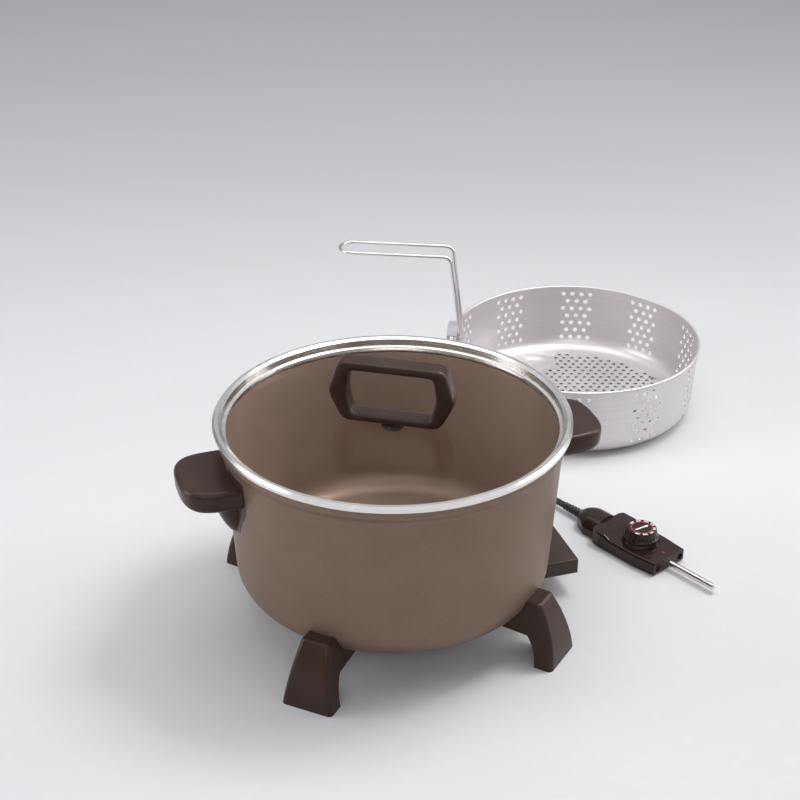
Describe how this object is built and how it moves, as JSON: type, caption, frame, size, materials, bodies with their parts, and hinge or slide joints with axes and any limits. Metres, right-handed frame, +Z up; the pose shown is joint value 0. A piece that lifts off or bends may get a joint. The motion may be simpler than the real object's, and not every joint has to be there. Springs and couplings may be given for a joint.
{
  "type": "electric soup kettle",
  "caption": "Tapered electric soup kettle on splayed legs, with side handles, glass cover, perforated steaming basket with a wire handle, and a corded plug-in heat control.",
  "frame": {"origin": "on the kettle's upright axis, at the level of the soles of its legs", "axes": "+Z up; +X from the axis to the side handle that stands over the pins of the heating element; +Y to the back, the side where the basket stands"},
  "size_m": [0.6461, 0.6097, 0.2492],
  "materials": {
    "pot_coating": "satin dark coating on cast aluminium",
    "handle_moulding": "satin moulded plastic",
    "element_sheath": "dull steel sheath",
    "bright_steel": "bright plated steel",
    "bare_aluminium": "bare aluminium",
    "guard_sheet": "dark satin sheet",
    "screw_steel": "plain steel",
    "clear_glass": "clear toughened glass",
    "soft_seal": "soft seal",
    "control_moulding": "glossy dark moulding",
    "switch_moulding": "pale switch moulding",
    "contact_brass": "brass",
    "dial_moulding": "dark moulding with pale marks",
    "red_lens": "red lens",
    "cord_jacket": "dark flexible jacket",
    "tie_strap": "plain strap"
  },
  "bodies": {
    "kettle": {"pot_shell": "pot_coating", "heating_element": "element_sheath", "terminal_pins": "bright_steel", "probe_well": "bare_aluminium", "probe_guard": "guard_sheet", "guard_screws": "screw_steel", "right_handle": "handle_moulding", "left_handle": "handle_moulding", "handle_screws": "screw_steel", "leg_back_right": "handle_moulding", "leg_back_left": "handle_moulding", "leg_front_left": "handle_moulding", "leg_front_right": "handle_moulding", "leg_screws": "screw_steel"},
    "cover": {"cover_glass": "clear_glass", "cover_rim": "bright_steel", "cover_handle": "handle_moulding", "cover_seal": "soft_seal", "cover_washer": "screw_steel", "cover_screw": "screw_steel"},
    "basket": {"basket_shell": "bare_aluminium", "basket_bracket": "bright_steel", "bracket_rivets": "screw_steel"},
    "basket_handle": {"basket_handle_wire": "bright_steel"},
    "control": {"control_base": "control_moulding", "control_cover": "control_moulding", "housing_screws": "screw_steel", "probe": "bright_steel", "contact_sockets": "contact_brass", "thermostat_switch": "switch_moulding", "pilot_lens": "red_lens", "cord_grip": "cord_jacket", "cord_lead": "cord_jacket", "cord_coil": "cord_jacket", "cord_tie": "tie_strap", "plug_body": "cord_jacket", "plug_blades": "contact_brass"},
    "dial": {"dial": "dial_moulding", "dial_shaft": "screw_steel"}
  },
  "joints": [
    {"name": "cover_lift", "type": "slide", "parent": "kettle", "child": "cover", "axis": [0, 0, 1], "range_m": [0, 0.15]},
    {"name": "basket_lift", "type": "slide", "parent": "kettle", "child": "basket", "axis": [0, 0, 1], "range_m": [0, 0.2]},
    {"name": "basket_handle_pull", "type": "slide", "parent": "basket", "child": "basket_handle", "axis": [0, 0, 1], "range_m": [0, 0.05]},
    {"name": "control_lift", "type": "slide", "parent": "kettle", "child": "control", "axis": [0, 0, 1], "range_m": [0, 0.12]},
    {"name": "dial_turn", "type": "hinge", "parent": "control", "child": "dial", "pos_m": [0.25375, 0.00541, 0.0243], "axis": [0, 0, 1], "range_deg": [-270, 0]}
  ]
}
